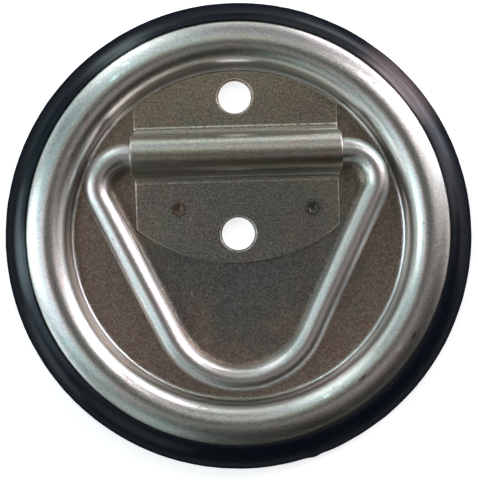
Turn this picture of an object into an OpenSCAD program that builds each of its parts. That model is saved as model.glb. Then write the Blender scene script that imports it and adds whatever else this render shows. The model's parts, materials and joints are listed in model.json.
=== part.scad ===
// Recessed pad eye: a pressed round dish with a lashing ring that folds down
// flush inside it. A pressed strap bracket spot-welded to the dish floor holds
// the straight bar of the ring, and a moulded rubber seal grips the rim.
//
// Axes: +Z points out of the deck, +X runs along the hinge bar of the ring,
// +Y points from the centre of the dish towards the hinge. The origin is the
// centre of the dish on the seating plane, which is the underside of the seal.

/* [Dish] */
// Thickness of the dish sheet
sheet_t = 1.5; // [1.2:0.1:1.8]
// Inside radius of the recess wall
recess_r = 43.7; // [43.4:0.1:44.4]
// Radius from the centre at which the outer arc of the bead is level
crest_r = 48.1; // [47.9:0.1:48.4]
// Height of the outer arc of the bead at that radius, above the seating plane
crest_z = 5.7; // [5.6:0.1:6.0]
// Radius of the inner shoulder of the bead, which runs into the outer arc without a step
bead_inner_r = 5.2; // [5:0.1:5.4]
// Outside radius of the outer slope of the bead
bead_outer_r = 10.5; // [10:0.1:11]
// Radius from the centre to the sheet edge inside the seal
rim_edge_r = 55.9; // [55.5:0.1:56.2]
// Depth of the dish floor below the seating plane
floor_depth = 3; // [2.8:0.1:3.2]
// Inside radius of the fillet between floor and wall
floor_fillet = 1.2; // [0.8:0.1:1.2]

/* [Bolt holes] */
// Distance between the two bolt holes
hole_pitch = 35.5; // [34.5:0.5:36]
// Diameter of the bolt holes in the dish
dish_hole_d = 8.4; // [8:0.1:8.6]
// Diameter of the bolt holes in the bracket
bracket_hole_d = 9.2; // [9:0.1:9.6]

/* [Ring bracket] */
// Thickness of the bracket sheet
bracket_t = 1.5; // [1.2:0.1:1.5]
// Half the width of the two flat lobes
lobe_half_w = 26.5; // [25.5:0.1:26.7]
// Half the length of the tunnel over the ring bar
tunnel_half_l = 27.1; // [26.8:0.1:27.4]
// Radius of the upper lobe edge, about the centre of the dish
upper_lobe_r = 42.3; // [41.5:0.1:42.4]
// Radius of the lower lobe edge
lower_lobe_r = 41.9; // [40:0.1:43]
// How far the lower lobe reaches past the centre of the dish
lower_lobe_reach = 7.8; // [7.2:0.1:8.4]
// Radial room between the ring bar and the tunnel
bar_room = 0.3; // [0.2:0.05:0.3]
// Radius of the bends at the foot of the tunnel
foot_bend = 1.7; // [1.4:0.1:1.7]
// Chamfer along the sheared edges of the bracket
edge_chamfer = 0.25; // [0.1:0.05:0.3]
// Distance of the left weld mark from the middle of the lower lobe
weld_left_x = 15.3; // [14:0.1:17]
// Distance of the left weld mark from the lower bolt hole axis, towards the hinge
weld_left_y = 6.6; // [5:0.1:8]
// Distance of the right weld mark from the middle of the lower lobe
weld_right_x = 19.4; // [18:0.1:21]
// Distance of the right weld mark from the lower bolt hole axis, towards the hinge
weld_right_y = 6.1; // [5:0.1:8]
// Diameter of each weld mark
weld_mark_d = 2.6; // [2:0.1:3]
// Depth of each weld mark
weld_mark_depth = 0.25; // [0.1:0.05:0.3]

/* [Lashing ring] */
// Diameter of the ring wire
wire_d = 6.7; // [6.4:0.1:6.7]
// Distance from the centre of the dish to the hinge axis
hinge_y = 20.6; // [20.2:0.1:20.7]
// Gap between the folded ring and the dish floor
ring_gap = 0.1; // [0.1:0.05:0.15]
// Half the angle between the two legs
leg_angle = 26; // [25:0.5:27]
// Centreline radius of the two top corners
corner_r = 7.75; // [7.5:0.05:7.9]
// Centreline radius of the rounded tip
tip_r = 19.85; // [19:0.05:20.5]
// Centreline distance from the hinge bar to the tip
ring_reach = 58; // [57:0.1:58.5]
// Length of the closing weld in the middle of the bar
ring_weld_l = 2.4; // [2:0.1:4]
// How far the closing weld stands proud of the wire
ring_weld_proud = 0.1; // [0.05:0.01:0.12]

/* [Rim seal] */
// Outside diameter of the seal, the largest size of the fitting
seal_d = 120; // [119:0.5:121]
// Radius of the rounded outside of the seal
seal_round = 8; // [7.9:0.1:8.2]
// Depth of the centre of that rounding below the seating plane
seal_sink = 3.6; // [3.5:0.1:3.8]
// Radius of the visible inner edge of the upper lip
lip_r = 54.1; // [53.8:0.1:54.3]
// Inner radius of the seating foot
foot_r = 51.2; // [50.5:0.1:51.6]

/* [Hidden] */
$fn = 96;

floor_z = -floor_depth;
under_z = floor_z - sheet_t;
outer_c_z = crest_z - bead_outer_r;
shoulder_c = recess_r + bead_inner_r;
bead_join = asin((shoulder_c - crest_r) / (bead_outer_r - bead_inner_r));
bead_z = round(1000 * (outer_c_z + (bead_outer_r - bead_inner_r) * cos(bead_join))) / 1000;
edge_angle = asin((rim_edge_r - crest_r) / bead_outer_r);
lobe_z = floor_z + bracket_t;
wire_r = wire_d / 2;
hinge_z = floor_z + ring_gap + wire_r;
tunnel_in = wire_r + bar_room;
tunnel_out = tunnel_in + bracket_t;
foot_c = tunnel_out + foot_bend;
foot_cz = lobe_z + foot_bend;
lower_c_y = lower_lobe_r - lower_lobe_reach;
tip_c = ring_reach - tip_r;
corner_c_x = (tip_c - corner_r) * tan(leg_angle) + (tip_r - corner_r) / cos(leg_angle);
leg_len = (tip_c - corner_r) / cos(leg_angle) + (tip_r - corner_r) * tan(leg_angle);
draw = 0.02;
sink = 0.05;
weld_at = [[-weld_left_x, weld_left_y], [weld_right_x, weld_right_y]];
nugget_r = 1.8;
nugget_h = 0.6;
nugget_ball = (nugget_r * nugget_r + nugget_h * nugget_h) / (2 * nugget_h);

// A curved strip between two radii, from angle a0 to angle a1 (under 180 apart)
module band(c, ri, ro, a0, a1) {
    far = ro * 2;
    am = (a0 + a1) / 2;
    translate(c) intersection() {
        difference() { circle(ro); circle(ri); }
        polygon([[0, 0], [far * cos(a0), far * sin(a0)], [far * cos(am), far * sin(am)], [far * cos(a1), far * sin(a1)]]);
    }
}

// Half section of the dish: floor, fillet, wall and the two sides of the bead
module dish_section() {
    fx = recess_r - floor_fillet;
    fz = floor_z + floor_fillet;
    translate([0, under_z]) square([fx, sheet_t]);
    band([fx, fz], floor_fillet, floor_fillet + sheet_t, -90, 0);
    translate([recess_r, fz]) square([sheet_t, bead_z - fz]);
    band([shoulder_c, bead_z], bead_inner_r - sheet_t, bead_inner_r, 87 - bead_join, 180);
    band([crest_r, outer_c_z], bead_outer_r - sheet_t, bead_outer_r, 90 - edge_angle, 90 - bead_join);
}

// Lens of fused metal between the two sheets
module nugget(p) {
    translate([p[0], p[1], floor_z]) intersection() {
        translate([0, 0, nugget_ball - nugget_h]) sphere(nugget_ball);
        translate([0, 0, nugget_h - nugget_ball]) sphere(nugget_ball);
    }
}

module dish_pan() {
    color([0.72, 0.72, 0.70]) difference() {
        rotate_extrude() dish_section();
        for (y = [0, hole_pitch]) translate([0, y, under_z - 1]) cylinder(d = dish_hole_d, h = sheet_t + 2);
        for (p = weld_at) nugget(p);
    }
}

// A flat lobe: a disc with a chamfered top edge, trimmed to the lobe width
module lobe(r, cy, y0, y1) {
    c = edge_chamfer;
    w = lobe_half_w;
    intersection() {
        translate([0, cy, 0]) rotate_extrude()
            polygon([[0, floor_z], [r, floor_z], [r, lobe_z - c], [r - c, lobe_z], [0, lobe_z]]);
        translate([0, y1, 0]) rotate([90, 0, 0]) linear_extrude(y1 - y0)
            polygon([[-w, floor_z], [w, floor_z], [w, lobe_z - c], [w - c, lobe_z], [c - w, lobe_z], [-w, lobe_z - c]]);
    }
}

// Cross section of the tunnel, with the bar axis at x = 0
module tunnel_section() {
    band([0, hinge_z], tunnel_in, tunnel_out, 0, 90);
    band([0, hinge_z], tunnel_in, tunnel_out, 90, 180);
    for (s = [-1, 1]) mirror([s < 0 ? 1 : 0, 0]) {
        translate([tunnel_in, foot_cz]) square([bracket_t, hinge_z - foot_cz]);
        band([foot_c, foot_cz], foot_bend, foot_bend + bracket_t, 180, 270);
        translate([foot_c, floor_z]) square([0.6, bracket_t]);
    }
}

// Outline of the tunnel seen from above, a little longer than the lobes are wide
module tunnel_outline() {
    a = lobe_half_w;
    b = tunnel_half_l;
    e = foot_c + 0.6;
    polygon([[-a, -e], [a, -e], [a, -foot_c + 0.1], [b - 0.15, -tunnel_out], [b, -tunnel_out + 0.7],
             [b, tunnel_out - 0.7], [b - 0.15, tunnel_out], [a, foot_c - 0.1], [a, e], [-a, e],
             [-a, foot_c - 0.1], [0.15 - b, tunnel_out], [-b, tunnel_out - 0.7],
             [-b, 0.7 - tunnel_out], [0.15 - b, -tunnel_out], [-a, -foot_c + 0.1]]);
}

module ring_bracket() {
    mark_ball = (weld_mark_d * weld_mark_d / 4 + weld_mark_depth * weld_mark_depth) / (2 * weld_mark_depth);
    color([0.66, 0.65, 0.60]) difference() {
        union() {
            translate([0, hinge_y, 0]) intersection() {
                rotate([90, 0, 90]) linear_extrude(2 * tunnel_half_l + 1, center = true) tunnel_section();
                translate([0, 0, under_z]) linear_extrude(20) tunnel_outline();
            }
            lobe(upper_lobe_r, 0, hinge_y + foot_c + 0.3, upper_lobe_r + 1);
            lobe(lower_lobe_r, lower_c_y, -lower_lobe_reach - 1, hinge_y - foot_c - 0.3);
        }
        for (y = [0, hole_pitch]) translate([0, y, 0]) {
            translate([0, 0, under_z]) cylinder(d = bracket_hole_d, h = sheet_t + bracket_t + 1);
            translate([0, 0, lobe_z - 0.2]) cylinder(d1 = bracket_hole_d, d2 = bracket_hole_d + 2, h = 1);
        }
        for (p = weld_at) {
            nugget(p);
            translate([p[0], p[1], lobe_z - weld_mark_depth + mark_ball]) sphere(mark_ball);
        }
    }
}

module spot_welds() {
    color([0.45, 0.44, 0.42]) for (p = weld_at) nugget(p);
}

// A bend of the wire about the origin, from angle a0 through sweep
module bend(r, a0, sweep) {
    rotate([0, 0, a0]) rotate_extrude(angle = sweep) translate([r, 0]) circle(wire_r);
}

// A straight length of wire from p in direction a, sunk e0 and e1 into the bends at its ends
module straight(p, a, l, e0, e1) {
    translate(p) rotate([0, 0, a]) translate([-e0, 0, 0]) rotate([0, 90, 0]) cylinder(r = wire_r - draw, h = l + e0 + e1);
}

module tie_ring() {
    color([0.78, 0.77, 0.75]) translate([0, hinge_y, hinge_z]) {
        for (s = [0, 1]) mirror([s, 0, 0]) {
            straight([ring_weld_l / 2, 0, 0], 0, corner_c_x - ring_weld_l / 2, 0, sink);
            translate([corner_c_x, -corner_r, 0]) bend(corner_r, -leg_angle, 90 + leg_angle);
            straight([tip_r * cos(leg_angle), -tip_c - tip_r * sin(leg_angle), 0], 90 - leg_angle, leg_len, sink, sink);
        }
        translate([0, -tip_c, 0]) bend(tip_r, 180 + leg_angle, 180 - 2 * leg_angle);
    }
}

module ring_weld() {
    w = ring_weld_l / 2;
    p = ring_weld_proud;
    color([0.5, 0.49, 0.47]) translate([0, hinge_y, hinge_z]) rotate([0, 90, 0]) rotate_extrude()
        polygon([[0, -w], [wire_r, -w], [wire_r + p, p - w], [wire_r + p, w - p], [wire_r, w], [0, w]]);
}

// Half section of the seal: rounded outside, upper lip, groove and seating foot
module seal_section() {
    top_c = seal_d / 2 - sqrt(seal_round * seal_round - seal_sink * seal_sink);
    g = 0.02;
    difference() {
        union() {
            intersection() {
                translate([top_c, -seal_sink]) circle(seal_round);
                translate([lip_r, 0]) square([10, 10]);
            }
            polygon([[foot_r, 0], [lip_r + 0.5, 0], [lip_r + 0.5, 2.2], [lip_r, 2.6], [foot_r + 1.4, 3.6], [foot_r + 1.4, 2.9], [foot_r, 1.2]]);
        }
        band([crest_r, outer_c_z], bead_outer_r - sheet_t - g, bead_outer_r + g, 90 - edge_angle - 0.1, 90);
    }
}

module rim_seal() {
    color([0.07, 0.07, 0.08]) rotate_extrude() seal_section();
}

dish_pan();
ring_bracket();
spot_welds();
tie_ring();
ring_weld();
rim_seal();
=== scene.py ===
import json
import math

import bmesh
import bpy
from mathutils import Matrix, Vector, noise


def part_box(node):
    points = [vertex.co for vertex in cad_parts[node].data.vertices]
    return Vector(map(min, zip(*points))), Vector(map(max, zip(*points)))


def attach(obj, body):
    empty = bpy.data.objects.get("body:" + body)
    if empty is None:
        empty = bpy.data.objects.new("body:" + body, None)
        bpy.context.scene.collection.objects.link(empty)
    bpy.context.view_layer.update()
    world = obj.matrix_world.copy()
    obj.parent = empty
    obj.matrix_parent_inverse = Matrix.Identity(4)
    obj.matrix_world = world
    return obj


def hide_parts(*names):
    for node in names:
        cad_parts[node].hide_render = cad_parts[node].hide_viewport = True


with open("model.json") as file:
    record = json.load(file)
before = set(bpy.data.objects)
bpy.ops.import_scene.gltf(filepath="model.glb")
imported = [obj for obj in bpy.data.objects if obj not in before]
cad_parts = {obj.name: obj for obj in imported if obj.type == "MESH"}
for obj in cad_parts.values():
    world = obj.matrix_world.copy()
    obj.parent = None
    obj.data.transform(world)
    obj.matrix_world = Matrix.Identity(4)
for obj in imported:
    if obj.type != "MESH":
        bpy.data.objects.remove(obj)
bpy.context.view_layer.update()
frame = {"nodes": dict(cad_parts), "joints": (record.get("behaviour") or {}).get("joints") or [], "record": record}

MM = 0.001
record = frame["record"]
scene = bpy.context.scene

# ---------------------------------------------------------------- dimensions, mm
hinge = [v * 1000 for v in frame["joints"][0]["pos_m"]]
HY, HZ = hinge[1], hinge[2]
bolts = next(m for m in record["mounts"] if m["name"] == "bolt_holes")
PITCH = bolts["dims"]["spacing_y_mm"]
HOLE_R = bolts["dims"]["hole_r_mm"]
HOLE_Y = (bolts["pos_m"][1] * 1000 - PITCH / 2, bolts["pos_m"][1] * 1000 + PITCH / 2)
pan_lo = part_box("dish_pan")[0] * 1000
bracket_lo, bracket_hi = [v * 1000 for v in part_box("ring_bracket")]
seal_lo, seal_hi = [v * 1000 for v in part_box("rim_seal")]

T = 1.5                              # sheet
UNDER = pan_lo.z                     # underside of the dish
FLOOR = UNDER + T                    # dish floor
LOBE = FLOOR + T                     # top of the bracket's lobes
CREST_R, CREST_Z = 48.1, 5.7         # where the outer arc of the bead is level
WALL_R = 43.7
OUT_R = 10.5
OUT_Z = CREST_Z - OUT_R
BEAD_R = 5.2                         # inner shoulder, running into the outer arc without a step
BEAD_C = WALL_R + BEAD_R
BEAD_JOIN = math.degrees(math.asin((BEAD_C - CREST_R) / (OUT_R - BEAD_R)))
BEAD_Z = OUT_Z + math.sqrt((OUT_R - BEAD_R) ** 2 - (BEAD_C - CREST_R) ** 2)
EDGE_R = 55.9
FIL = 1.2
WIRE = 3.35
TUN_IN = 3.65
TUN_OUT = TUN_IN + T
FOOT = 1.7
FOOT_C = TUN_OUT + FOOT
LOBE_W = 26.5
HUMP_W = bracket_hi.x
UP_R = 42.3
LOW_R = 41.9
LOW_C = LOW_R - 7.8
B_HOLE_R = 4.6
WELDS = ((-15.3, 6.6), (19.4, 6.1))


# ---------------------------------------------------------------- helpers
def rad(a):
    return math.radians(a)


def smooth01(t):
    t = max(0.0, min(1.0, t))
    return t * t * (3 - 2 * t)


def arc(cx, cy, r, a0, a1, n, first=True):
    """Points on an arc, angles in degrees."""
    out = []
    for i in range(0 if first else 1, n + 1):
        a = rad(a0 + (a1 - a0) * i / n)
        out.append((cx + r * math.cos(a), cy + r * math.sin(a)))
    return out


def line(p, q, n, first=False, last=True):
    out = []
    for i in range(0 if first else 1, n + 1 if last else n):
        t = i / n
        out.append((p[0] + (q[0] - p[0]) * t, p[1] + (q[1] - p[1]) * t))
    return out


def make_object(name, verts, faces, sharp_deg=38.0):
    me = bpy.data.meshes.new(name)
    me.from_pydata([(x * MM, y * MM, z * MM) for x, y, z in verts], [], faces)
    me.update()
    ob = bpy.data.objects.new(name, me)
    scene.collection.objects.link(ob)
    finish_mesh(ob, sharp_deg)
    return ob


def finish_mesh(ob, sharp_deg=38.0, dist=0.0):
    """Outward normals, smooth shading, and sharp edges only where the surface really turns."""
    bm = bmesh.new()
    bm.from_mesh(ob.data)
    if dist:
        bmesh.ops.remove_doubles(bm, verts=bm.verts, dist=dist)
        bmesh.ops.dissolve_degenerate(bm, edges=bm.edges, dist=dist)
    bmesh.ops.recalc_face_normals(bm, faces=bm.faces)
    for f in bm.faces:
        f.smooth = True
    lim = rad(sharp_deg)
    for e in bm.edges:
        e.smooth = not (len(e.link_faces) == 2 and e.calc_face_angle(0.0) > lim)
    bm.to_mesh(ob.data)
    bm.free()
    ob.data.update()


def lathe(name, loop, seg, warp=None):
    """A closed section loop [(r, z), ...] turned about Z."""
    n = len(loop)
    verts, faces = [], []
    for i in range(seg):
        a = 2 * math.pi * i / seg
        c, s = math.cos(a), math.sin(a)
        for r, z in loop:
            p = (r * c, r * s, z)
            verts.append(warp(p, r, a) if warp else p)
    for i in range(seg):
        j = (i + 1) % seg
        for k in range(n):
            m = (k + 1) % n
            faces.append((i * n + k, j * n + k, j * n + m, i * n + m))
    return make_object(name, verts, faces)


def cutter(name, loop_rz, x, y, seg=72):
    """A solid of revolution about a vertical line at x, y. The section runs from the axis and back to it."""
    verts, faces = [], []
    rings = []
    for r, z in loop_rz:
        if r < 1e-9:
            rings.append([len(verts)])
            verts.append((x, y, z))
        else:
            rings.append(list(range(len(verts), len(verts) + seg)))
            for i in range(seg):
                a = 2 * math.pi * i / seg
                verts.append((x + r * math.cos(a), y + r * math.sin(a), z))
    for a, b in zip(rings, rings[1:]):
        for i in range(seg):
            j = (i + 1) % seg
            if len(a) == 1:
                faces.append((a[0], b[i], b[j]))
            elif len(b) == 1:
                faces.append((a[i], b[0], a[j]))
            else:
                faces.append((a[i], b[i], b[j], a[j]))
    return make_object(name, verts, faces)


def hole_cutter(name, x, y, r, z0, z1, lip):
    """A punched hole with rounded lips at both faces."""
    n = 6
    top, bottom = [], []
    for i in range(n + 1):
        a = rad(90.0 * i / n)
        # quarter round from the wall out to the face
        top.append((r + lip * (1 - math.cos(a)), z1 - lip + lip * math.sin(a)))
    far = top[-1][0]
    loop = [(0, z0 - 1.0), (far + 0.05, z0 - 1.0), (far + 0.05, z0 - 1e-4)]
    for i in range(n, -1, -1):
        a = rad(90.0 * i / n)
        bottom.append((r + lip * (1 - math.cos(a)), z0 + lip - lip * math.sin(a)))
    loop += bottom + top + [(far + 0.05, z1 + 1e-4), (far + 0.05, z1 + 1.0), (0, z1 + 1.0)]
    return cutter(name, loop, x, y)


def lens_cutter(name, x, y, z, r=1.8, h=0.6):
    ball = (r * r + h * h) / (2 * h)
    half = math.degrees(math.asin(r / ball))
    pts = [(ball * math.sin(rad(half * i / 8)), z - h + ball - ball * math.cos(rad(half * i / 8))) for i in range(9)]
    pts += [(px, 2 * z - pz) for px, pz in reversed(pts[:-1])]
    pts[0], pts[-1] = (0, pts[0][1]), (0, pts[-1][1])
    return cutter(name, pts, x, y, 40)


def cut(ob, tools):
    for t in tools:
        mod = ob.modifiers.new("cut", "BOOLEAN")
        mod.operation = "DIFFERENCE"
        mod.solver = "EXACT"
        mod.object = t
    dg = bpy.context.evaluated_depsgraph_get()
    me = bpy.data.meshes.new_from_object(ob.evaluated_get(dg))
    ob.modifiers.clear()
    old = ob.data
    ob.data = me
    bpy.data.meshes.remove(old)
    for t in tools:
        data = t.data
        bpy.data.objects.remove(t)
        bpy.data.meshes.remove(data)
    finish_mesh(ob, 38.0, 2e-7)


# ---------------------------------------------------------------- dish
def floor_wave(x, y):
    """Press-shop unevenness of the flat sheet, a few hundredths of a millimetre."""
    flat = 1.0 - smooth01((math.hypot(x, y) - 38.0) / 4.0)
    n = noise.noise(Vector((x * 0.055, y * 0.055, 3.1)))
    m = noise.noise(Vector((x * 0.16 + 9, y * 0.16, 7.7)))
    return (0.05 * n + 0.014 * m) * flat


def pan_wave(p, r, a):
    """The same unevenness on both faces of the dish, and a slight one round the bead."""
    x, y, z = p
    dz = floor_wave(x, y) if r < 42.4 else 0.0
    k = smooth01((r - 43.0) / 4.0) * (1.0 - smooth01((r - 52.0) / 2.0))
    dz += 0.03 * noise.noise(Vector((math.cos(a) * 2.4, math.sin(a) * 2.4, 1.0))) * k
    if z < UNDER + 0.01:                         # electrode marks on the hidden side of the spot welds
        for wx, wy in WELDS:
            q = math.hypot(x - wx, y - wy) / 2.0
            if q < 1:
                dz += 0.14 * (1 - q * q) ** 1.5
    return (x, y, z + dz)


def build_pan():
    fx, fz = WALL_R - FIL, FLOOR + FIL
    ang = math.degrees(math.asin((EDGE_R - CREST_R) / OUT_R))
    lip = 0.28
    h = HOLE_R
    loop = [(h + lip * (1 - math.cos(rad(90 - 18 * i))), FLOOR - lip + lip * math.sin(rad(90 - 18 * i))) for i in range(5, -1, -1)]
    # top of the floor, wall, bead, outer slope
    loop += line((h + lip, FLOOR), (fx - 0.3, FLOOR), 54)
    loop += [(fx, FLOOR)]
    loop += arc(fx, fz, FIL, -90, 0, 10, False)
    loop += line((WALL_R, fz), (WALL_R, BEAD_Z), 4)
    loop += arc(BEAD_C, BEAD_Z, BEAD_R, 180, 90 - BEAD_JOIN, 26, False)
    loop += arc(CREST_R, OUT_Z, OUT_R, 90 - BEAD_JOIN, 90 - ang, 24, False)
    # sheet edge, then back along the underside
    e = rad(90 - ang)
    tx, tz = math.sin(e), -math.cos(e)
    ro, ri = OUT_R, OUT_R - T
    loop += [(CREST_R + (ro - 0.25) * math.cos(e) + tx * 0.15, OUT_Z + (ro - 0.25) * math.sin(e) + tz * 0.15),
             (CREST_R + (ri + 0.25) * math.cos(e) + tx * 0.15, OUT_Z + (ri + 0.25) * math.sin(e) + tz * 0.15)]
    loop += arc(CREST_R, OUT_Z, ri, 90 - ang, 90 - BEAD_JOIN, 22)
    loop += arc(BEAD_C, BEAD_Z, BEAD_R - T, 90 - BEAD_JOIN, 180, 20, False)
    loop += line((WALL_R + T, BEAD_Z), (WALL_R + T, fz), 4)
    loop += arc(fx, fz, FIL + T, 0, -90, 14, False)
    loop += [(fx - 0.3, UNDER)]
    loop += line((fx - 0.3, UNDER), (h + lip, UNDER), 54)
    loop += [(h + lip * (1 - math.cos(rad(18 * i))), UNDER + lip - lip * math.sin(rad(18 * i))) for i in range(4, -1, -1)]
    pan = lathe("dish_pan_shell", loop, 360, pan_wave)
    tools = [hole_cutter("cut_a", 0, HOLE_Y[1], HOLE_R, UNDER - 0.02, FLOOR + 0.02, lip)]
    tools += [lens_cutter("cut_w%d" % i, x, y, FLOOR) for i, (x, y) in enumerate(WELDS)]
    cut(pan, tools)
    return pan


# ---------------------------------------------------------------- bracket
def bracket_width(u):
    """Half width of the blank at distance u from the bar axis: lobes, then the slightly longer tunnel."""
    a = abs(u)
    if a <= 4.45:
        return HUMP_W
    if a <= TUN_OUT:
        return HUMP_W - 0.15 * (a - 4.45) / (TUN_OUT - 4.45)
    return HUMP_W - 0.15 - (HUMP_W - 0.15 - LOBE_W) * smooth01((a - TUN_OUT) / (FOOT_C - TUN_OUT - 0.1))


def build_bracket():
    edge = 0.46                      # rounding left by the press along the sheared edge
    nx = 136
    rows = []                        # (kind, u, z, ny, nz) or (kind, t)
    up = [1 - (i / 40.0) ** 1.0 for i in range(0, 41)]
    rows += [("up", t) for t in up[:-1]]
    rows += [("s", FOOT_C + 0.62, LOBE, 0.0, 1.0), ("s", FOOT_C + 0.42, LOBE, 0.0, 1.0), ("s", FOOT_C + 0.3, LOBE, 0.0, 1.0),
             ("s", FOOT_C + 0.2, LOBE, 0.0, 1.0), ("s", FOOT_C + 0.1, LOBE, 0.0, 1.0)]
    for i in range(0, 13):
        a = rad(270 - 90 * i / 12)
        rows.append(("s", FOOT_C + FOOT * math.cos(a), LOBE + FOOT + FOOT * math.sin(a), -math.cos(a), -math.sin(a)))
    for i in range(0, 49):
        a = rad(180.0 * i / 48)
        rows.append(("s", TUN_OUT * math.cos(a), HZ + TUN_OUT * math.sin(a), math.cos(a), math.sin(a)))
    for i in range(0, 13):
        a = rad(0 - 90 * i / 12)
        rows.append(("s", -FOOT_C + FOOT * math.cos(a), LOBE + FOOT + FOOT * math.sin(a), -math.cos(a), -math.sin(a)))
    rows += [("s", -FOOT_C - 0.1, LOBE, 0.0, 1.0), ("s", -FOOT_C - 0.2, LOBE, 0.0, 1.0), ("s", -FOOT_C - 0.3, LOBE, 0.0, 1.0),
             ("s", -FOOT_C - 0.42, LOBE, 0.0, 1.0), ("s", -FOOT_C - 0.62, LOBE, 0.0, 1.0)]
    rows += [("low", i / 56.0) for i in range(1, 57)]

    def spread(v):                   # columns are left evenly spaced
        return v
    grid = []
    for row in rows:
        line_pts = []
        for j in range(nx + 1):
            s = spread(-1 + 2 * j / nx)
            if row[0] == "s":
                _, u, z, ny, nz = row
                x = s * (bracket_width(u) - edge)
                line_pts.append((Vector((x, HY + u, z)), Vector((0, ny, nz))))
            else:
                x = s * (LOBE_W - edge)
                if row[0] == "up":
                    y0, y1 = HY + FOOT_C + 0.62, math.sqrt((UP_R - edge) ** 2 - x * x)
                else:
                    y0, y1 = HY - FOOT_C - 0.62, LOW_C - math.sqrt((LOW_R - edge) ** 2 - x * x)
                line_pts.append((Vector((x, y0 + (y1 - y0) * row[1], LOBE)), Vector((0, 0, 1))))
        grid.append(line_pts)
    nr = len(grid)

    def shape(p, n):
        """Die lines at the feet of the tunnel, the weld marks, and slight unevenness of the sheet."""
        x, y, z = p
        u = y - HY
        d = 0.0
        if n.z > 0.999 and abs(z - LOBE) < 1e-6:
            w = 0.65 + 0.4 * noise.noise(Vector((x * 0.9, 4.0, 0))) + 0.5 * noise.noise(Vector((x * 2.3, 8.0, 0)))
            mid = 0.45 + 0.75 * math.exp(-((x - 2.0) / 11.0) ** 2)
            d += 0.15 * w * mid * math.exp(-((u - FOOT_C - 0.28) / 0.13) ** 2)
            d += 0.045 * w * math.exp(-((u + FOOT_C + 0.28) / 0.12) ** 2)
            for wx, wy in WELDS:
                r = math.hypot(x - wx, y - wy)
                if r < 3.2:
                    q = r / (1.3 + 0.14 * noise.noise(Vector((x * 0.9, y * 0.9, 3.3))))
                    if q < 1:
                        d -= 0.25 * (1 - q * q) ** 1.3 + 0.05 * noise.noise(Vector((x * 2.2, y * 2.2, 6.1))) * (1 - q)
                    d += 0.02 * math.exp(-((r - 1.6) / 0.3) ** 2)
        return d

    def lift_of(p):
        return Vector((0, 0, floor_wave(p.x, p.y) * smooth01((abs(p.y - HY) - TUN_OUT) / FOOT)))

    verts, faces = [], []

    def put(p):
        verts.append((p.x, p.y, p.z))
        return len(verts) - 1
    top = [[0] * (nx + 1) for _ in range(nr)]
    bot = [[0] * (nx + 1) for _ in range(nr)]
    for i in range(nr):
        for j in range(nx + 1):
            p, n = grid[i][j]
            lift = lift_of(p)
            top[i][j] = put(p + n * shape(p, n) + lift)
            bot[i][j] = put(p - n * T + lift)
    for i in range(nr - 1):
        for j in range(nx):
            faces.append((top[i][j], top[i + 1][j], top[i + 1][j + 1], top[i][j + 1]))
            faces.append((bot[i][j], bot[i][j + 1], bot[i + 1][j + 1], bot[i + 1][j]))
    # the perimeter, in order, with the outward direction of the edge at each point
    ring = []
    cy_up, cy_low = 0.0, LOW_C

    def arc_dir(p, cy):
        v = Vector((p.x, p.y - cy, 0))
        return v.normalized()

    def miter(a, b):
        return (a + b) / (1 + a.dot(b))
    X = Vector((1, 0, 0))
    for j in range(nx + 1):
        p, n = grid[0][j]
        d = arc_dir(p, cy_up)
        if j == 0:
            d = miter(d, -X)
        if j == nx:
            d = miter(d, X)
        ring.append((0, j, d))
    for i in range(1, nr - 1):
        ring.append((i, nx, X))
    for j in range(nx, -1, -1):
        p, n = grid[nr - 1][j]
        d = arc_dir(p, cy_low)
        if j == 0:
            d = miter(d, -X)
        if j == nx:
            d = miter(d, X)
        ring.append((nr - 1, j, d))
    for i in range(nr - 2, 0, -1):
        ring.append((i, 0, -X))
    K = 4
    bands = []
    for i, j, d in ring:
        p, n = grid[i][j]
        column = [top[i][j]]
        lift = lift_of(p)
        for k in range(1, K + 1):
            a = rad(90.0 * k / K)
            column.append(put(p + d * edge * math.sin(a) - n * edge * (1 - math.cos(a)) + lift))
        low = 0.16                   # the lower edge is sharper
        for k in range(K, 0, -1):
            a = rad(90.0 * k / K)
            column.append(put(p + d * (edge - low + low * math.sin(a)) - n * (T - low * (1 - math.cos(a))) + lift))
        column.append(bot[i][j])
        bands.append(column)
    m = len(bands)
    for a in range(m):
        b = (a + 1) % m
        for k in range(len(bands[a]) - 1):
            faces.append((bands[a][k], bands[b][k], bands[b][k + 1], bands[a][k + 1]))
    ob = make_object("ring_bracket_plate", verts, faces)
    tools = [hole_cutter("cut_b%d" % i, 0, y, B_HOLE_R, FLOOR, LOBE + 0.01, 0.32) for i, y in enumerate(HOLE_Y)]
    tools += [lens_cutter("cut_v%d" % i, x, y, FLOOR) for i, (x, y) in enumerate(WELDS)]
    cut(ob, tools)
    return ob


# ---------------------------------------------------------------- ring
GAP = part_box("ring_weld")[1].x * 1000          # the wire ends meet the closing weld here


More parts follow.
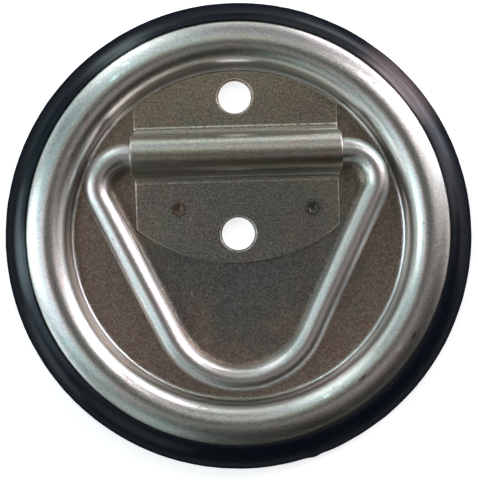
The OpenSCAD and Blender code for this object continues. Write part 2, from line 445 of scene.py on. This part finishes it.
def ring_path():
    """Centreline of the wire in the ring's own plane, bar along X at y = 0, tip towards -Y."""
    la, rc, rt, reach = 26.0, 7.75, 19.85, 58.0
    tc = reach - rt
    cx = (tc - rc) * math.tan(rad(la)) + (rt - rc) / math.cos(rad(la))
    pts = []                         # (x, y, tangent angle, bend)
    n = 22
    for i in range(n):
        pts.append((GAP + (cx - GAP) * i / n, 0.0, 0.0, 0.0))
    for i in range(41):
        a = 90 - (90 + la) * i / 40
        pts.append((cx + rc * math.cos(rad(a)), -rc + rc * math.sin(rad(a)), a - 90, math.sin(math.pi * i / 40)))
    x0, y0 = pts[-1][0], pts[-1][1]
    x1, y1 = rt * math.cos(rad(la)), -tc - rt * math.sin(rad(la))
    for i in range(1, 34):
        t = i / 34
        pts.append((x0 + (x1 - x0) * t, y0 + (y1 - y0) * t, -90 - la, 0.0))
    for i in range(57):
        a = -la - (180 - 2 * la) * i / 56
        pts.append((rt * math.cos(rad(a)), -tc + rt * math.sin(rad(a)), a - 90, 0.5 * math.sin(math.pi * i / 56)))
    x0, y0 = pts[-1][0], pts[-1][1]
    x1 = -cx - rc * math.cos(rad(la))
    y1 = -rc - rc * math.sin(rad(la))
    for i in range(1, 34):
        t = i / 34
        pts.append((x0 + (x1 - x0) * t, y0 + (y1 - y0) * t, -270 + la, 0.0))
    for i in range(41):
        a = 180 + la - (90 + la) * i / 40
        pts.append((-cx + rc * math.cos(rad(a)), -rc + rc * math.sin(rad(a)), a - 90 - 360, math.sin(math.pi * i / 40)))
    for i in range(1, n + 1):
        pts.append((-cx + (cx - GAP) * i / n, 0.0, -360.0, 0.0))
    return pts


def build_ring():
    pts = ring_path()
    seg = 56
    verts, faces = [], []
    for x, y, ta, bend in pts:
        # outward normal in the plane is to the left of the clockwise path
        na = rad(ta + 90)
        nx_, ny_ = math.cos(na), math.sin(na)
        r = WIRE
        for k in range(seg):
            a = 2 * math.pi * k / seg
            c, s = math.cos(a), math.sin(a)
            # the outside of a cold bend flattens a little
            ro = r * (1 - 0.022 * bend * max(0.0, c) ** 2)
            w = 0.02 * noise.noise(Vector((x * 0.12, y * 0.12, 2 + s * 0.6)))
            verts.append((x + nx_ * (ro + w) * c, HY + y + ny_ * (ro + w) * c, HZ + (ro + w) * s))
    n = len(pts)
    for i in range(n - 1):
        j = i + 1
        for k in range(seg):
            m = (k + 1) % seg
            faces.append((i * seg + k, i * seg + m, j * seg + m, j * seg + k))
    for i, x in ((0, GAP), (n - 1, -GAP)):      # sawn ends, fused to the weld
        verts.append((x, HY, HZ))
        for k in range(seg):
            faces.append((len(verts) - 1, i * seg + k, i * seg + (k + 1) % seg))
    return make_object("tie_ring_wire", verts, faces, 60)


# ---------------------------------------------------------------- seal
SEAM = rad(-73.0)


def seal_warp(p, r, a):
    """The moulding sits a little low on the rim and carries one vulcanised joint."""
    x, y, z = p
    w = smooth01((r - 55.2) / 4.8)
    y -= 0.6 * w
    e = smooth01((r - 57.0) / 3.0)
    q = 0.05 * noise.noise(Vector((math.cos(a) * 9, math.sin(a) * 9, z * 0.15)))
    q += 0.035 * noise.noise(Vector((math.cos(a) * 31, math.sin(a) * 31, z * 0.4)))
    k = (a - SEAM + math.pi) % (2 * math.pi) - math.pi
    s = k * r                        # mm along the rim from the joint
    q += 0.24 * math.exp(-(s / 1.3) ** 2) - 0.10 * math.exp(-((s - 2.9) / 0.9) ** 2)
    q += 0.09 * math.tanh(s / 0.7) * math.exp(-(s / 7.0) ** 2)
    x += q * e * math.cos(a)
    y += q * e * math.sin(a)
    if z > 2.0 and r > 54.0:
        dz = 0.12 * math.exp(-(s / 0.7) ** 2) - 0.10 * math.exp(-((abs(s) - 1.5) / 0.45) ** 2)
        z += dz * smooth01((r - 54.2) / 0.8)
        z += 0.03 * noise.noise(Vector((math.cos(a) * 14, math.sin(a) * 14, r * 0.2)))
    return (x, y, z)


def build_seal():
    g = 0.02
    ang = math.degrees(math.asin((EDGE_R - CREST_R) / OUT_R)) + 0.2
    lip_r, rr, drop = 54.1, 8.0, 3.6
    top_c = 60.0 - math.sqrt(rr * rr - drop * drop)
    ro, ri = OUT_R + g, OUT_R - T - g
    z_lip = OUT_Z + math.sqrt(ro * ro - (lip_r - CREST_R) ** 2)
    a_lip = math.degrees(math.acos((lip_r + 0.16 - top_c) / rr))
    a_foot = math.degrees(math.asin((drop + 0.25) / rr))
    top = (lip_r + 0.16, -drop + rr * math.sin(rad(a_lip)))
    loop = [(lip_r + 0.06, z_lip + 0.01), (lip_r, z_lip + 0.08)]
    loop += arc(lip_r + 0.16, top[1] - 0.17, 0.165, 172, 96, 6)
    loop += arc(top_c, -drop, rr, a_lip, a_foot, 40)
    loop += arc(59.62, 0.22, 0.22, 18, -90, 5)
    loop += line((59.62, 0.0), (51.5, 0.0), 14)
    loop += arc(51.5, 0.3, 0.3, -120, -180, 3)
    loop += line((51.2, 0.3), (51.2, 1.1), 2)
    a0 = 90 - math.degrees(math.asin((52.65 - CREST_R) / ri))
    p = (CREST_R + ri * math.cos(rad(a0)), OUT_Z + ri * math.sin(rad(a0)))
    loop += line((51.22, 1.25), (p[0] - 0.12, p[1] - 0.06), 4, True)
    loop += arc(CREST_R, OUT_Z, ri, a0 - 0.4, 90 - ang, 12)
    loop += line((CREST_R + ri * math.cos(rad(90 - ang)), OUT_Z + ri * math.sin(rad(90 - ang))),
                 (CREST_R + ro * math.cos(rad(90 - ang)), OUT_Z + ro * math.sin(rad(90 - ang))), 3, False, False)
    a1 = 90 - math.degrees(math.asin((lip_r + 0.1 - CREST_R) / ro))
    loop += arc(CREST_R, OUT_Z, ro, 90 - ang, a1, 8)
    return lathe("rim_seal_rubber", loop, 720, seal_warp)


pan = build_pan()
bracket = build_bracket()
ring = build_ring()
seal = build_seal()


# ---------------------------------------------------------------- materials
class Net:
    """Small wrapper that makes node trees readable."""

    def __init__(self, name):
        self.mat = bpy.data.materials.new(name)
        self.mat.use_nodes = True
        self.t = self.mat.node_tree
        self.t.nodes.clear()

    def add(self, kind, **kw):
        n = self.t.nodes.new(kind)
        for k, v in kw.items():
            if k == "inputs":
                for a, b in v.items():
                    n.inputs[a].default_value = b
            else:
                setattr(n, k, v)
        return n

    def link(self, a, b):
        self.t.links.new(a, b)

    def math(self, op, a, b=None, clamp=False):
        n = self.t.nodes.new("ShaderNodeMath")
        n.operation = op
        n.use_clamp = clamp
        for i, v in enumerate((a, b)):
            if v is None:
                continue
            if isinstance(v, (int, float)):
                n.inputs[i].default_value = v
            else:
                self.link(v, n.inputs[i])
        return n.outputs[0]

    def ramp(self, fac, stops, interp="LINEAR"):
        n = self.t.nodes.new("ShaderNodeValToRGB")
        n.color_ramp.interpolation = interp
        els = n.color_ramp.elements
        while len(els) > 1:
            els.remove(els[-1])
        els[0].position, els[0].color = stops[0][0], (*stops[0][1], 1)
        for pos, col in stops[1:]:
            e = els.new(pos)
            e.color = (*col, 1)
        self.link(fac, n.inputs[0])
        return n.outputs[0]

    def mix(self, fac, a, b, mode="MIX"):
        n = self.t.nodes.new("ShaderNodeMix")
        n.data_type = "RGBA"
        n.blend_type = mode
        for sock, v in ((n.inputs[0], fac), (n.inputs[6], a), (n.inputs[7], b)):
            if isinstance(v, (int, float)):
                sock.default_value = v
            elif isinstance(v, tuple):
                sock.default_value = (*v, 1)
            else:
                self.link(v, sock)
        return n.outputs[2]

    def noise(self, vec, scale, detail=2.0, rough=0.5, dist=0.0):
        n = self.add("ShaderNodeTexNoise", inputs={"Scale": scale, "Detail": detail, "Roughness": rough, "Distortion": dist})
        self.link(vec, n.inputs["Vector"])
        return n


def zinc(name, base=(0.60, 0.595, 0.57), rough=0.30, grain=1.0, tint=0.5, draw=None, burns=(), scuff=None, painted_flat_reflection=None, grime_and_shade_amount=0.5, lip=None, painted_flank_shade=None):
    """Bright zinc plate over pressed steel: satin grain, blotches, a faint passivation tint, bare edges, grime and
    painted shade in corners, and optional painted reflection on the flats, painted shade on the tunnel flank and a
    painted highlight along the fillet.
    """
    s = Net(name)
    geo = s.add("ShaderNodeTexCoord")
    scale = s.add("ShaderNodeMapping", inputs={"Scale": (1000, 1000, 1000)})
    s.link(geo.outputs["Object"], scale.inputs["Vector"])
    mm = scale.outputs[0]
    cloud = s.noise(mm, 0.055, 4.0, 0.55, 0.6).outputs["Fac"]
    blot = s.noise(mm, 0.35, 3.0, 0.6, 0.3).outputs["Fac"]
    fine = s.noise(mm, 2.1, 2.0, 0.6).outputs["Fac"]
    micro = s.noise(mm, 7.5, 2.0, 0.6).outputs["Fac"]
    # passivation film: very weak pink, green and straw drifting over each other
    hue = s.noise(mm, 0.09, 3.0, 0.6, 1.2).outputs["Fac"]
    film = s.ramp(hue, [(0.0, (0.86, 0.98, 0.90)), (0.38, (0.88, 0.99, 0.92)), (0.46, (1.0, 1.0, 0.97)), (0.54, (1.0, 0.985, 0.93)),
                        (0.62, (1.0, 0.90, 0.90)), (1.0, (0.95, 0.90, 0.98))])
    body = s.mix(s.math("MULTIPLY", cloud, 0.5), base, tuple(c * 0.80 for c in base))
    body = s.mix(tint, body, s.mix(1.0, body, film, "MULTIPLY"))
    if painted_flat_reflection:                      # painted reflection of a dark brown room on the flat areas below a height: greyer at the centre, browner outwards, uneven in blotches
        low, ring_r, amount = painted_flat_reflection
        parts = s.add("ShaderNodeSeparateXYZ")
        s.link(mm, parts.inputs[0])
        flat_ = s.math("MULTIPLY", s.math("LESS_THAN", parts.outputs["Z"], low), s.math("GREATER_THAN", parts.outputs["Z"], low - 0.7))
        far = s.add("ShaderNodeVectorMath", operation="LENGTH")
        s.link(mm, far.inputs[0])
        wide = s.noise(mm, 0.11, 4.0, 0.62, 0.4).outputs["Fac"]
        side = s.math("ADD", s.math("DIVIDE", far.outputs["Value"], ring_r), s.math("MULTIPLY", s.math("SUBTRACT", wide, 0.5), 1.5))
        flat_reflection_tone = s.ramp(side, [(0.20, (0.54, 0.56, 0.57)), (0.50, (0.60, 0.575, 0.555)), (0.70, (0.75, 0.64, 0.57)), (1.0, (0.78, 0.64, 0.56))])
        body = s.mix(s.math("MULTIPLY", flat_, amount), body, s.mix(1.0, body, flat_reflection_tone, "MULTIPLY"))
    speck = s.ramp(fine, [(0.30, (0.56, 0.55, 0.53)), (0.50, (0.95, 0.95, 0.95)), (0.70, (1.42, 1.42, 1.41))])
    # the drawn and bent areas are burnished smoother than the flats
    amount = s.math("MULTIPLY", s.math("ADD", 0.42, s.math("MULTIPLY", flat_, 0.5)), grain, True) if painted_flat_reflection else 0.42 * grain
    body = s.mix(amount, body, s.mix(1.0, body, speck, "MULTIPLY"))
    sheen = s.noise(mm, 1.7, 3.0, 0.7, 0.2).outputs["Color"]       # faint rainbow of the passivated grain
    sheen = s.mix(1.0, sheen, (2.0, 2.0, 2.0), "MULTIPLY")
    hue_amount = s.math("ADD", 0.08, s.math("MULTIPLY", flat_, 0.26)) if painted_flat_reflection else 0.08
    body = s.mix(hue_amount, body, s.mix(1.0, body, sheen, "MULTIPLY"))
    # pits and small spots of dulled plate
    vor = s.add("ShaderNodeTexVoronoi", inputs={"Scale": 0.42, "Randomness": 1.0})
    s.link(mm, vor.inputs["Vector"])
    spot = s.ramp(vor.outputs["Distance"], [(0.0, (1, 1, 1)), (0.10, (1, 1, 1)), (0.17, (0, 0, 0))])
    keep = s.ramp(s.noise(mm, 0.5, 1.0).outputs["Fac"], [(0.60, (0, 0, 0)), (0.64, (1, 1, 1))])
    spots = s.math("MULTIPLY", spot, keep)
    body = s.mix(s.math("MULTIPLY", spots, 0.55), body, (0.24, 0.22, 0.20))
    # grime and painted shade in corners, from ambient occlusion
    ao = s.add("ShaderNodeAmbientOcclusion", samples=6, inputs={"Distance": 0.0011})
    corner = s.math("POWER", s.math("SUBTRACT", 1.0, ao.outputs["AO"], True), 1.6)
    grime_and_corner_shade = s.math("MULTIPLY", corner, s.math("ADD", 0.35, s.math("MULTIPLY", blot, 0.9)), True)
    body = s.mix(s.math("MULTIPLY", grime_and_corner_shade, grime_and_shade_amount), body, (0.16, 0.135, 0.115))
    # heat marks left by the spot welder
    if burns:
        flat = s.add("ShaderNodeMapping", inputs={"Scale": (1000, 1000, 0)})
        s.link(geo.outputs["Object"], flat.inputs["Vector"])
        for bx, by, tone in burns:
            d = s.add("ShaderNodeVectorMath", operation="DISTANCE")
            s.link(flat.outputs[0], d.inputs[0])
            d.inputs[1].default_value = (bx, by, 0)
            wob = s.math("ADD", d.outputs["Value"], s.math("MULTIPLY", s.math("SUBTRACT", fine, 0.5), 1.6))
            mark = s.ramp(s.math("MULTIPLY", wob, 0.25), [(0.0, (1, 1, 1)), (0.36, (0.85, 0.85, 0.85)), (0.50, (0.30, 0.30, 0.30)), (0.72, (0.0, 0.0, 0.0))])
            body = s.mix(s.math("MULTIPLY", mark, 0.90), body, tone)
    if painted_flank_shade:                     # painted shade: brown darkening along the lower flank of the tunnel
        ys, above = painted_flank_shade
        place = s.add("ShaderNodeSeparateXYZ")
        s.link(mm, place.inputs[0])
        along = s.math("DIVIDE", s.math("SUBTRACT", place.outputs["Y"], ys[0]), ys[-1] - ys[0])
        span = ys[-1] - ys[0]
        band = s.ramp(along, [(0.0, (0, 0, 0)), ((ys[1] - ys[0]) / span, (1, 1, 1)), ((ys[2] - ys[0]) / span, (0.75, 0.75, 0.75)), (1.0, (0, 0, 0))])
        band = s.math("MULTIPLY", band, s.math("GREATER_THAN", place.outputs["Z"], above))
        band = s.math("MULTIPLY", band, s.math("ADD", 0.55, s.math("MULTIPLY", blot, 0.8)), True)
        body = s.mix(band, body, s.mix(1.0, body, (0.62, 0.54, 0.51), "MULTIPLY"))
    # a scuffed line burnished by the bending tool
    rub = None
    if scuff:
        sep = s.add("ShaderNodeSeparateXYZ")
        s.link(mm, sep.inputs[0])
        for at, wide, strong in scuff:
            off = s.math("ABSOLUTE", s.math("SUBTRACT", sep.outputs["Y"], at))
            one = s.math("SUBTRACT", 1.0, s.math("DIVIDE", off, wide), True)
            one = s.math("MULTIPLY", one, s.math("MULTIPLY", s.math("SUBTRACT", s.noise(mm, 1.1, 3.0, 0.8).outputs["Fac"], 0.36, True), strong * 4.0), True)
            rub = one if rub is None else s.math("ADD", rub, one, True)
        body = s.mix(rub, body, (0.97, 0.97, 0.95))
    if lip:                          # painted highlight: a ragged bright line along the fillet where the drawn wall starts
        at, wide = lip
        flat3 = s.add("ShaderNodeMapping", inputs={"Scale": (1000, 1000, 0)})
        s.link(geo.outputs["Object"], flat3.inputs["Vector"])
        reach = s.add("ShaderNodeVectorMath", operation="LENGTH")
        s.link(flat3.outputs[0], reach.inputs[0])
        ragged = s.noise(mm, 1.3, 3.0, 0.75).outputs["Fac"]
        gone = s.noise(mm, 0.16, 2.0, 0.5).outputs["Fac"]
        off = s.math("ABSOLUTE", s.math("SUBTRACT", s.math("ADD", reach.outputs["Value"], s.math("MULTIPLY", s.math("SUBTRACT", ragged, 0.5), 1.3)), at))
        edge = s.math("SUBTRACT", 1.0, s.math("DIVIDE", off, wide), True)
        edge = s.math("MULTIPLY", edge, s.ramp(gone, [(0.36, (0.25, 0.25, 0.25)), (0.52, (1, 1, 1))]))
        # painted reflection: the drawn wall above it is made brighter
        wall = s.ramp(s.math("DIVIDE", s.math("SUBTRACT", reach.outputs["Value"], 42.0), 4.0),
                      [(0.16, (0, 0, 0)), (0.26, (1, 1, 1)), (0.62, (1, 1, 1)), (0.86, (0, 0, 0))], "EASE")
        body = s.mix(s.math("MULTIPLY", wall, 0.85), body, (0.93, 0.925, 0.91))
        high = s.add("ShaderNodeSeparateXYZ")
        s.link(mm, high.inputs[0])
        body = s.mix(s.math("MULTIPLY", edge, s.math("GREATER_THAN", high.outputs["Z"], FLOOR - 0.3)), body, (1.0, 1.0, 0.98))
    # bare, polished edges
    g = s.add("ShaderNodeNewGeometry")
    worn = s.ramp(g.outputs["Pointiness"], [(0.525, (0, 0, 0)), (0.60, (1, 1, 1))])
    worn = s.math("MULTIPLY", worn, s.math("ADD", 0.35, blot), True)
    body = s.mix(s.math("MULTIPLY", worn, 0.6), body, (0.86, 0.85, 0.83))
    # roughness
    r = s.math("ADD", rough - 0.10, s.math("MULTIPLY", cloud, 0.08))
    r = s.math("ADD", r, s.math("MULTIPLY", fine, 0.12 * grain))
    r = s.math("ADD", r, s.math("MULTIPLY", spots, 0.25))
    r = s.math("SUBTRACT", r, s.math("MULTIPLY", worn, 0.10))
    r = s.math("ADD", r, s.math("MULTIPLY", grime_and_corner_shade, 0.20), True)
    # relief
    h = s.math("ADD", s.math("MULTIPLY", fine, 0.024 * grain), s.math("MULTIPLY", micro, 0.007 * grain))
    h = s.math("ADD", h, s.math("MULTIPLY", blot, 0.020))
    h = s.math("SUBTRACT", h, s.math("MULTIPLY", spots, 0.02))
    if draw is not None:             # draw lines along one axis
        m2 = s.add("ShaderNodeMapping", inputs={"Scale": draw})
        s.link(geo.outputs["Object"], m2.inputs["Vector"])
        lines_ = s.noise(m2.outputs[0], 1.0, 3.0, 0.7).outputs["Fac"]
        h = s.math("ADD", h, s.math("MULTIPLY", lines_, 0.006))
    bump = s.add("ShaderNodeBump", inputs={"Strength": 1.0, "Distance": 0.001})
    s.link(h, bump.inputs["Height"])
    p = s.add("ShaderNodeBsdfPrincipled", inputs={"Metallic": 1.0})
    s.link(body, p.inputs["Base Color"])
    s.link(r, p.inputs["Roughness"])
    s.link(bump.outputs[0], p.inputs["Normal"])
    out = s.add("ShaderNodeOutputMaterial")
    s.link(p.outputs[0], out.inputs[0])
    return s.mat


def rubber(name):
    """Moulded black rubber: painted highlights as pale streaks along the rim, fine texture, a few scuffs."""
    s = Net(name)
    geo = s.add("ShaderNodeTexCoord")
    scale = s.add("ShaderNodeMapping", inputs={"Scale": (1000, 1000, 1000)})
    s.link(geo.outputs["Object"], scale.inputs["Vector"])
    mm = scale.outputs[0]
    cloud = s.noise(mm, 0.12, 4.0, 0.6, 0.5).outputs["Fac"]
    fine = s.noise(mm, 3.2, 3.0, 0.6).outputs["Fac"]
    grit = s.noise(mm, 9.0, 2.0, 0.6).outputs["Fac"]
    body = s.ramp(cloud, [(0.3, (0.0040, 0.0062, 0.0110)), (0.62, (0.0055, 0.0078, 0.0130)), (0.8, (0.0090, 0.0110, 0.0160))])
    dust = s.ramp(fine, [(0.55, (0, 0, 0)), (0.75, (1, 1, 1))])
    body = s.mix(s.math("MULTIPLY", dust, 0.10), body, (0.02, 0.022, 0.028))
    # painted highlights: pale glint streaks that follow the rim at a few turns round it
    xyz = s.add("ShaderNodeSeparateXYZ")
    s.link(mm, xyz.inputs[0])
    turn = s.math("MULTIPLY", s.math("ARCTAN2", xyz.outputs["Y"], xyz.outputs["X"]), 180 / math.pi)
    flat2 = s.add("ShaderNodeMapping", inputs={"Scale": (1000, 1000, 0)})
    s.link(geo.outputs["Object"], flat2.inputs["Vector"])
    reach = s.add("ShaderNodeVectorMath", operation="LENGTH")
    s.link(flat2.outputs[0], reach.inputs[0])
    polar = s.add("ShaderNodeCombineXYZ")
    s.link(s.math("MULTIPLY", turn, 0.09), polar.inputs[0])
    s.link(s.math("MULTIPLY", reach.outputs["Value"], 2.6), polar.inputs[1])
    glint_streak = s.ramp(s.noise(polar.outputs[0], 1.0, 3.0, 0.65).outputs["Fac"], [(0.30, (0.35, 0.35, 0.35)), (0.68, (1.3, 1.3, 1.3))])
    for a0, half, fall, tone in ((41, 17, 60.5, (0.34, 0.255, 0.25)), (-174, 13, 57.2, (0.085, 0.115, 0.125)), (122, 11, 57.6, (0.10, 0.115, 0.115)),
                                 (68, 22, 58.6, (0.03, 0.034, 0.036)), (15, 16, 59.4, (0.035, 0.036, 0.042))):
        away = s.math("ABSOLUTE", s.math("SUBTRACT", turn, a0))
        if a0 < -160:
            away = s.math("MINIMUM", away, s.math("SUBTRACT", 360, away))
        win = s.ramp(s.math("DIVIDE", away, half), [(0.15, (1, 1, 1)), (1.0, (0, 0, 0))], "EASE")
        drop = s.math("DIVIDE", s.math("SUBTRACT", reach.outputs["Value"], 55.4), fall - 55.4)
        win = s.math("MULTIPLY", win, s.math("SUBTRACT", 1.0, drop, True))
        body = s.mix(s.math("MULTIPLY", win, glint_streak, True), body, tone)
    r = s.math("ADD", 0.18, s.math("MULTIPLY", cloud, 0.09))
    r = s.math("ADD", r, s.math("MULTIPLY", fine, 0.05), True)
    h = s.math("ADD", s.math("MULTIPLY", fine, 0.009), s.math("MULTIPLY", grit, 0.003))
    h = s.math("ADD", h, s.math("MULTIPLY", cloud, 0.06))
    bump = s.add("ShaderNodeBump", inputs={"Strength": 1.0, "Distance": 0.001})
    s.link(h, bump.inputs["Height"])
    # the outer flank is matt with handling, the top is still glossy
    g = s.add("ShaderNodeNewGeometry")
    up = s.add("ShaderNodeSeparateXYZ")
    s.link(g.outputs["True Normal"], up.inputs[0])
    gloss = s.ramp(up.outputs["Z"], [(0.60, (0.004, 0.004, 0.004)), (0.80, (0.016, 0.016, 0.016)), (0.90, (0.030, 0.030, 0.030))])
    d = s.add("ShaderNodeBsdfDiffuse", inputs={"Roughness": 0.6})
    s.link(body, d.inputs["Color"])
    s.link(bump.outputs[0], d.inputs["Normal"])
    k = s.add("ShaderNodeBsdfGlossy", inputs={"Color": (0.88, 0.95, 1.0, 1)})
    s.link(r, k.inputs["Roughness"])
    s.link(bump.outputs[0], k.inputs["Normal"])
    both = s.add("ShaderNodeMixShader")
    s.link(gloss, both.inputs[0])
    s.link(d.outputs[0], both.inputs[1])
    s.link(k.outputs[0], both.inputs[2])
    out = s.add("ShaderNodeOutputMaterial")
    s.link(both.outputs[0], out.inputs[0])
    return s.mat


def set_material(ob, mat):
    ob.data.materials.clear()
    ob.data.materials.append(mat)


set_material(pan, zinc("dish_zinc", (0.64, 0.63, 0.615), 0.32, 1.0, 0.5, painted_flat_reflection=(FLOOR + 0.2, 44.0, 1.0), grime_and_shade_amount=0.08, lip=(42.66, 0.36)))
set_material(bracket, zinc("bracket_zinc", (0.63, 0.61, 0.57), 0.33, 1.1, 0.75, None,
                           ((WELDS[0][0], WELDS[0][1], (0.11, 0.06, 0.042)), (WELDS[1][0], WELDS[1][1], (0.04, 0.045, 0.055))),
                           ((HY + FOOT_C + 0.28, 0.34, 1.5), (HY - FOOT_C - 0.28, 0.24, 0.9)), (LOBE + 0.12, 44.0, 0.80), 0.4,
                           painted_flank_shade=((HY - 4.9, HY - 3.6, HY - 0.6, HY + 1.6), LOBE + 0.8)))
set_material(ring, zinc("ring_zinc", (0.70, 0.69, 0.68), 0.37, 0.8, 0.5, grime_and_shade_amount=0.05))
set_material(seal, rubber("seal_rubber"))
weld_mat = zinc("weld_zinc", (0.40, 0.39, 0.37), 0.45, 1.4, 0.3)
for n in ("spot_welds", "ring_weld"):
    set_material(frame["nodes"][n], weld_mat)

for ob, body, slot in ((pan, "dish", "dish_steel"), (bracket, "dish", "bracket_steel"), (ring, "ring", "ring_steel"), (seal, "dish", "seal_rubber")):
    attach(ob, body)
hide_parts("dish_pan")
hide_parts("ring_bracket")
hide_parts("tie_ring")
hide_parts("rim_seal")


# ---------------------------------------------------------------- stage
def build_stage():
    size = 3.0
    z = UNDER * MM - 0.00012
    me = bpy.data.meshes.new("stage_floor")
    me.from_pydata([(-size, -size, z), (size, -size, z), (size, size, z), (-size, size, z)], [], [(0, 1, 2, 3)])
    ob = bpy.data.objects.new("stage_floor", me)
    scene.collection.objects.link(ob)
    s = Net("stage_paper")
    geo = s.add("ShaderNodeTexCoord")
    n = s.noise(geo.outputs["Object"], 900.0, 3.0, 0.6).outputs["Fac"]
    paper = s.ramp(n, [(0.3, (0.90, 0.90, 0.90)), (0.7, (0.93, 0.93, 0.93))])
    d = s.add("ShaderNodeBsdfDiffuse")
    s.link(paper, d.inputs["Color"])
    e = s.add("ShaderNodeEmission", inputs={"Color": (1, 1, 1, 1), "Strength": 0.62})
    add = s.add("ShaderNodeAddShader")
    s.link(d.outputs[0], add.inputs[0])
    s.link(e.outputs[0], add.inputs[1])
    clear = s.add("ShaderNodeBsdfTransparent")
    g = s.add("ShaderNodeNewGeometry")
    mix = s.add("ShaderNodeMixShader")
    s.link(g.outputs["Backfacing"], mix.inputs[0])
    s.link(add.outputs[0], mix.inputs[1])
    s.link(clear.outputs[0], mix.inputs[2])
    out = s.add("ShaderNodeOutputMaterial")
    s.link(mix.outputs[0], out.inputs[0])
    me.materials.append(s.mat)
    return ob


build_stage()


def softbox(name, zenith, azimuth, radiance, colour, dist=0.75, half=13.0):
    """A round soft box turned to face the dish; azimuth anticlockwise from +X, zenith from +Z."""
    a, t = rad(azimuth), rad(zenith)
    pos = Vector((math.cos(a) * math.sin(t), math.sin(a) * math.sin(t), math.cos(t))) * dist
    r = dist * math.tan(rad(half))
    li = bpy.data.lights.new(name, "AREA")
    li.shape = "DISK"
    li.size = 2 * r
    li.energy = radiance * math.pi * math.pi * r * r
    li.color = colour
    ob = bpy.data.objects.new(name, li)
    scene.collection.objects.link(ob)
    ob.location = pos
    ob.rotation_mode = "QUATERNION"
    ob.rotation_quaternion = (-pos).to_track_quat("-Z", "Y")
    ob.visible_camera = False
    return ob


# zenith, azimuth, strength, colour
SOFT = (
    (14, 315, 0.10, (0.94, 1.00, 0.97)),
    (27, 90, 0.51, (0.88, 1.00, 0.74)),
    (27, 135, 0.22, (1.00, 0.80, 0.56)),
    (29, 182, 0.62, (1.00, 0.72, 0.83)),
    (27, 225, 0.42, (1.00, 0.98, 0.89)),
    (27, 315, 0.42, (1.00, 0.84, 0.78)),
    (43, 90, 0.34, (0.97, 0.82, 1.00)),
    (38, 121, 0.61, (0.61, 0.93, 1.00)),
    (43, 162, 0.51, (0.40, 0.95, 1.00)),
    (43, 198, 1.83, (0.68, 0.90, 1.00)),
    (43, 18, 1.13, (1.00, 0.87, 0.83)),
    (42, 43, 1.75, (1.00, 0.96, 1.00)),
    (60, 120, 2.16, (0.85, 0.95, 1.00)),
    (60, 180, 4.05, (0.85, 0.98, 1.00)),
    (60, 240, 0.69, (0.80, 1.00, 0.97)),
    (60, 30, 2.96, (0.93, 0.89, 1.00)),
    (78, 90, 1.11, (0.90, 1.00, 0.95)),
    (78, 120, 1.70, (0.90, 1.00, 1.00)),
    (78, 150, 1.22, (0.79, 0.98, 1.00)),
    (78, 210, 2.06, (0.86, 0.97, 1.00)),
    (78, 0, 1.01, (1.00, 0.93, 0.93)),
    (78, 30, 5.58, (0.92, 0.89, 1.00)),
    (78, 60, 4.60, (1.00, 0.94, 0.99)),
)
SMALL = {(29, 182): 5.0, (38, 121): 5.0, (42, 43): 5.5}      # same output from a smaller, brighter face
for i, (zen, azi, power, colour) in enumerate(SOFT):
    half = SMALL.get((zen, azi), 13.0)
    softbox("soft_%02d" % i, zen, azi, power * (math.tan(rad(13.0)) / math.tan(rad(half))) ** 2, colour, half=half)


def build_world():
    w = bpy.data.worlds.new("studio")
    scene.world = w
    w.use_nodes = True
    t = w.node_tree
    t.nodes.clear()
    geo = t.nodes.new("ShaderNodeTexCoord")
    sep = t.nodes.new("ShaderNodeSeparateXYZ")
    t.links.new(geo.outputs["Generated"], sep.inputs[0])
    ramp = t.nodes.new("ShaderNodeValToRGB")     # glow of the room low down, dark overhead
    ramp.color_ramp.interpolation = "EASE"
    els = ramp.color_ramp.elements
    els[0].position, els[0].color = 0.0, (0.187, 0.190, 0.147, 1)
    els[1].position, els[1].color = 0.45, (0.0, 0.0, 0.0, 1)
    t.links.new(sep.outputs["Z"], ramp.inputs[0])
    bg = t.nodes.new("ShaderNodeBackground")
    t.links.new(ramp.outputs[0], bg.inputs[0])
    plain = t.nodes.new("ShaderNodeBackground")
    plain.inputs[0].default_value = (0.93, 0.93, 0.93, 1)
    lp = t.nodes.new("ShaderNodeLightPath")
    mix = t.nodes.new("ShaderNodeMixShader")
    t.links.new(lp.outputs["Is Camera Ray"], mix.inputs[0])
    t.links.new(bg.outputs[0], mix.inputs[1])
    t.links.new(plain.outputs[0], mix.inputs[2])
    out = t.nodes.new("ShaderNodeOutputWorld")
    t.links.new(mix.outputs[0], out.inputs[0])


build_world()
scene.view_settings.view_transform = "Standard"
scene.view_settings.look = "None"
scene.view_settings.exposure = 0.0
scene.view_settings.gamma = 1.0
scene.cycles.max_bounces = 10
scene.cycles.glossy_bounces = 6
scene.cycles.sample_clamp_indirect = 6.0

# ---------------------------------------------------------------- camera
W_PX, H_PX = 478, 500
DIST = 290.0                         # mm above the seating plane
PX = 0.2572                          # mm per pixel at the seating plane
cam_data = bpy.data.cameras.new("cam")
cam_data.sensor_width = 36.0
cam_data.lens = DIST / PX * 36.0 / max(W_PX, H_PX)
cam_data.clip_start, cam_data.clip_end = 0.01, 20
cam = bpy.data.objects.new("cam", cam_data)
scene.collection.objects.link(cam)
roll = rad(-1.63)
dx, dy = (W_PX / 2 - 238.4) * PX, (233.5 - H_PX / 2) * PX      # image centre seen from the dish centre, right and up
cam.location = ((dx * math.cos(roll) - dy * math.sin(roll)) * MM, (dx * math.sin(roll) + dy * math.cos(roll)) * MM, DIST * MM)
cam.rotation_euler = (0, 0, roll)
scene.camera = cam
